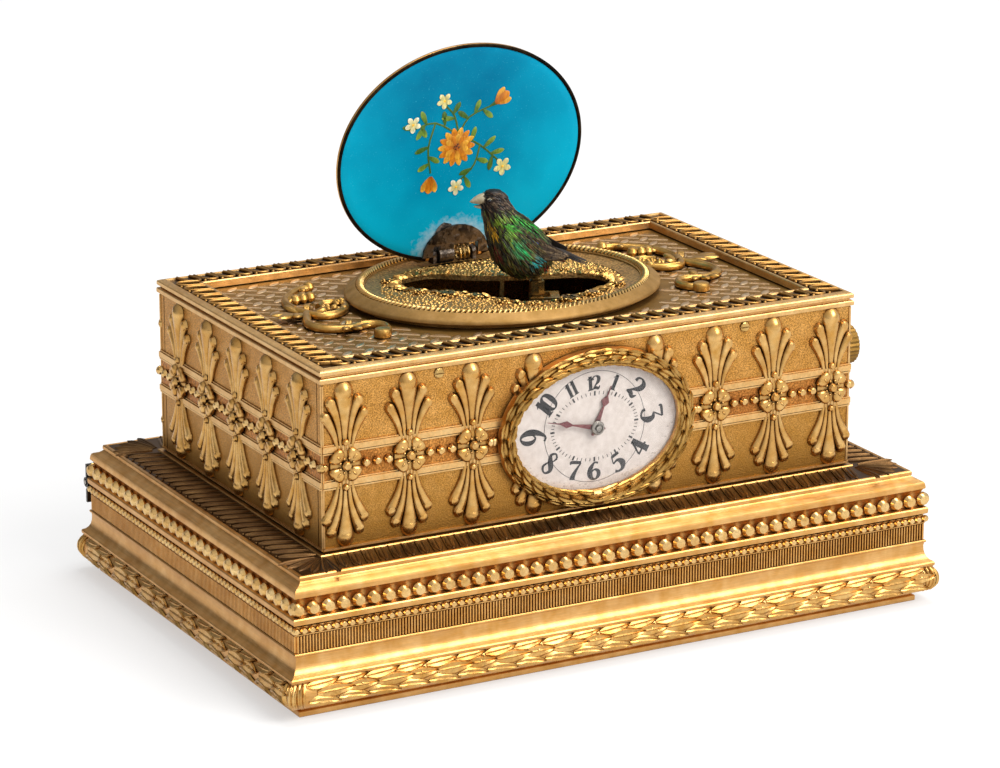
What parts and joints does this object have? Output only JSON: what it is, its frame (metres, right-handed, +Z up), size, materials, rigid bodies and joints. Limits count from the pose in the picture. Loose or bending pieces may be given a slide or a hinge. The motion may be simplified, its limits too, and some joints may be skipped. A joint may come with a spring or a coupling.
{
  "type": "automaton clock",
  "caption": "Gilt brass box clock on a moulded plinth; an oval enamelled lid opens and a feathered singing bird stands up through a pierced grille.",
  "frame": {"origin": "centre of the plinth's underside", "axes": "+X along the front towards the crown's side, +Y to the back, +Z up; the clock faces -Y"},
  "size_m": [0.1596, 0.113, 0.1203],
  "materials": {
    "gilt_brass": "polished gilding",
    "matt_gilding": "matt gilding",
    "patinated_brass": "engraved and patinated",
    "plain_brass": "turned and milled",
    "grey_steel": "bright steel",
    "blued_steel": "blued steel",
    "blackened_steel": "blackened",
    "turquoise_enamel": "glossy enamel",
    "white_dial": "matt dial",
    "clear_glass": "clear",
    "velvet": "velvet",
    "leather": "thin zephyr skin",
    "green_feathers": "feathered",
    "dark_feathers": "feathered",
    "ivory": "carved"
  },
  "bodies": {
    "base": {"plinth_moulding": "gilt_brass", "bottom_plate": "patinated_brass", "compartment_lining": "velvet", "lower_hinge_leaf": "blackened_steel", "long_hinge_pin": "grey_steel"},
    "case": {"upper_plinth": "gilt_brass", "upper_hinge_leaf": "blackened_steel", "case_floor": "patinated_brass", "front_panel": "matt_gilding", "back_panel": "matt_gilding", "left_panel": "matt_gilding", "right_panel": "matt_gilding", "left_panel_screw": "plain_brass", "right_panel_screw": "plain_brass", "top_frame": "gilt_brass", "engraved_top_plate": "patinated_brass", "left_scroll_mount": "gilt_brass", "right_scroll_mount": "gilt_brass", "oval_bezel": "gilt_brass", "bird_grille": "matt_gilding", "lid_hinge_bracket": "blackened_steel", "lid_hinge_pin": "plain_brass", "lid_spring": "plain_brass", "clock_bezel": "gilt_brass", "clock_glass": "clear_glass", "clock_dial": "white_dial", "clock_movement": "plain_brass", "bird_bedplate": "plain_brass", "movement_bridge": "plain_brass", "bridge_pillar_1": "plain_brass", "bridge_pillar_2": "plain_brass", "bridge_pillar_3": "plain_brass", "carriage_guide": "plain_brass", "whistle_tube": "plain_brass", "wind_chest": "plain_brass", "bellows_leather": "leather", "click_screw": "grey_steel"},
    "bird_lid": {"lid": "gilt_brass", "lid_enamel_panel": "turquoise_enamel", "lid_hinge_lug": "blackened_steel"},
    "carriage": {"bird_carriage": "plain_brass", "fold_pin": "grey_steel"},
    "stand": {"bird_stand": "plain_brass"},
    "bird": {"bird_body": "green_feathers", "upper_beak": "ivory"},
    "lower_beak": {"lower_beak": "ivory"},
    "left_wing": {"left_wing": "dark_feathers"},
    "right_wing": {"right_wing": "dark_feathers"},
    "tail": {"tail": "dark_feathers"},
    "minute_hand": {"minute_hand": "blued_steel"},
    "hour_hand": {"hour_hand": "blued_steel"},
    "crown": {"crown": "gilt_brass"},
    "spring_barrel": {"spring_barrel": "plain_brass"},
    "cam_stack": {"cam_stack": "plain_brass"},
    "governor_fan": {"governor_fan": "grey_steel"},
    "winding_arbor": {"winding_arbor": "grey_steel"},
    "ratchet_click": {"ratchet_click": "grey_steel"},
    "bellows_board": {"bellows_board": "plain_brass"},
    "whistle_piston": {"whistle_piston": "grey_steel"},
    "start_slide": {"start_slide": "plain_brass"}
  },
  "joints": [
    {"name": "case_lift", "type": "hinge", "parent": "base", "child": "case", "pos_m": [0, 0.05545, 0.0202], "axis": [-1, 0, 0], "range_deg": [0, 60]},
    {"name": "bird_lid", "type": "hinge", "parent": "case", "child": "bird_lid", "pos_m": [0, 0.0239, 0.0714], "axis": [-1, 0, 0], "range_deg": [-81, 0]},
    {"name": "bird_sink", "type": "slide", "parent": "case", "child": "carriage", "axis": [0, 0, 1], "range_m": [-0.006, 0]},
    {"name": "bird_fold", "type": "hinge", "parent": "carriage", "child": "stand", "pos_m": [0.00713, -0.00222, 0.0655], "axis": [0.4226, 0.9063, 0], "range_deg": [-90, 0]},
    {"name": "bird_turn", "type": "hinge", "parent": "stand", "child": "bird", "pos_m": [0.00713, -0.00222, 0.0709], "axis": [0, 0, 1], "range_deg": [-15, 15]},
    {"name": "left_wing_beat", "type": "hinge", "parent": "bird", "child": "left_wing", "pos_m": [0.00452, -0.00498, 0.0819], "axis": [-0.7997, 0.3729, 0.4706], "range_deg": [0, 30]},
    {"name": "right_wing_beat", "type": "hinge", "parent": "bird", "child": "right_wing", "pos_m": [0.00756, 0.00155, 0.0819], "axis": [0.7997, -0.3729, -0.4706], "range_deg": [0, 30]},
    {"name": "tail_flick", "type": "hinge", "parent": "bird", "child": "tail", "pos_m": [0.01066, -0.00387, 0.0772], "axis": [0.4226, 0.9063, 0], "range_deg": [0, 12]},
    {"name": "beak_open", "type": "hinge", "parent": "bird", "child": "lower_beak", "pos_m": [-0.00384, 0.00289, 0.0871], "axis": [-0.4226, -0.9063, 0], "range_deg": [0, 16]},
    {"name": "minute_hand_turn", "type": "hinge", "parent": "case", "child": "minute_hand", "pos_m": [0, -0.0416, 0.0482], "axis": [0, 1, 0], "continuous": true},
    {"name": "hour_hand_turn", "type": "hinge", "parent": "case", "child": "hour_hand", "pos_m": [0, -0.0411, 0.0482], "axis": [0, 1, 0], "continuous": true},
    {"name": "crown_turn", "type": "hinge", "parent": "case", "child": "crown", "pos_m": [0.0648, -0.0349, 0.056], "axis": [1, 0, 0], "continuous": true},
    {"name": "barrel_turn", "type": "hinge", "parent": "case", "child": "spring_barrel", "pos_m": [0.0355, 0.017, 0.04], "axis": [0, 0, 1], "continuous": true},
    {"name": "cam_turn", "type": "hinge", "parent": "case", "child": "cam_stack", "pos_m": [0.04531, 0.00001, 0.04], "axis": [0, 0, 1], "continuous": true},
    {"name": "fan_turn", "type": "hinge", "parent": "case", "child": "governor_fan", "pos_m": [0.03965, -0.01401, 0.04], "axis": [0, 0, 1], "continuous": true},
    {"name": "winding_turn", "type": "hinge", "parent": "case", "child": "winding_arbor", "pos_m": [0.0355, 0.017, 0.054], "axis": [0, 0, 1], "continuous": true},
    {"name": "click_lift", "type": "hinge", "parent": "case", "child": "ratchet_click", "pos_m": [0.0377, 0.0273, 0.0542], "axis": [0, 0, -1], "range_deg": [0, 10]},
    {"name": "bellows_beat", "type": "hinge", "parent": "case", "child": "bellows_board", "pos_m": [-0.054, 0.023, 0.046], "axis": [0, -1, 0], "range_deg": [-6, 0], "deforming": ["bellows_leather"]},
    {"name": "piston_slide", "type": "slide", "parent": "case", "child": "whistle_piston", "axis": [1, 0, 0], "range_m": [0, 0.006]},
    {"name": "start_slide", "type": "slide", "parent": "case", "child": "start_slide", "axis": [0, 1, 0], "range_m": [0, 0.006]}
  ],
  "couplings": [
    {"joint": "bird_sink", "follows": "bird_lid", "m_per_rad": 0.004243},
    {"joint": "bird_fold", "follows": "bird_lid", "ratio": 1.111},
    {"joint": "right_wing_beat", "follows": "left_wing_beat", "ratio": 1},
    {"joint": "hour_hand_turn", "follows": "minute_hand_turn", "ratio": 0.083333},
    {"joint": "cam_turn", "follows": "barrel_turn", "ratio": -3.3333},
    {"joint": "fan_turn", "follows": "barrel_turn", "ratio": 13.333}
  ]
}
